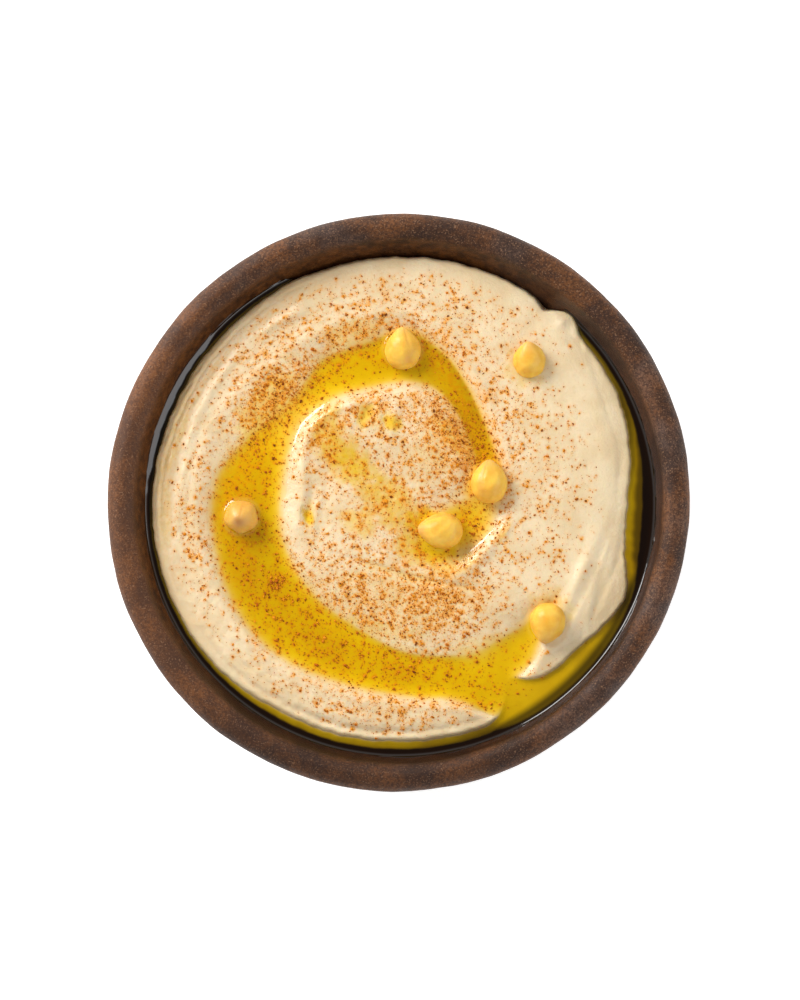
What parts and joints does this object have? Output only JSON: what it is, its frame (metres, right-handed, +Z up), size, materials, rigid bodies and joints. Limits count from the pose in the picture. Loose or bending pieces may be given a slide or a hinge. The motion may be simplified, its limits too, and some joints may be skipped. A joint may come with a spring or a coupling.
{
  "type": "bowl of hummus",
  "caption": "Shallow round clay bowl filled with hummus, its top swirled with the back of a spoon, with olive oil in the swirl, paprika and whole chickpeas.",
  "frame": {"origin": "centre of the bowl's flat foot, on the plane it stands on", "axes": "+Z up along the bowl's axis; +X and +Y in the plane of the foot, with the hummus's swirl opening towards -Y and +X"},
  "size_m": [0.1654, 0.1644, 0.05],
  "materials": {
    "fired_clay": "satin",
    "hummus_paste": "satin",
    "olive_oil": "gloss",
    "chickpea_skin": "satin"
  },
  "bodies": {
    "root": {"bowl": "fired_clay", "hummus": "hummus_paste", "oil_swirl": "olive_oil", "oil_pool": "olive_oil", "chickpea_1": "chickpea_skin", "chickpea_2": "chickpea_skin", "chickpea_3": "chickpea_skin", "chickpea_4": "chickpea_skin", "chickpea_5": "chickpea_skin", "chickpea_6": "chickpea_skin"}
  },
  "joints": []
}
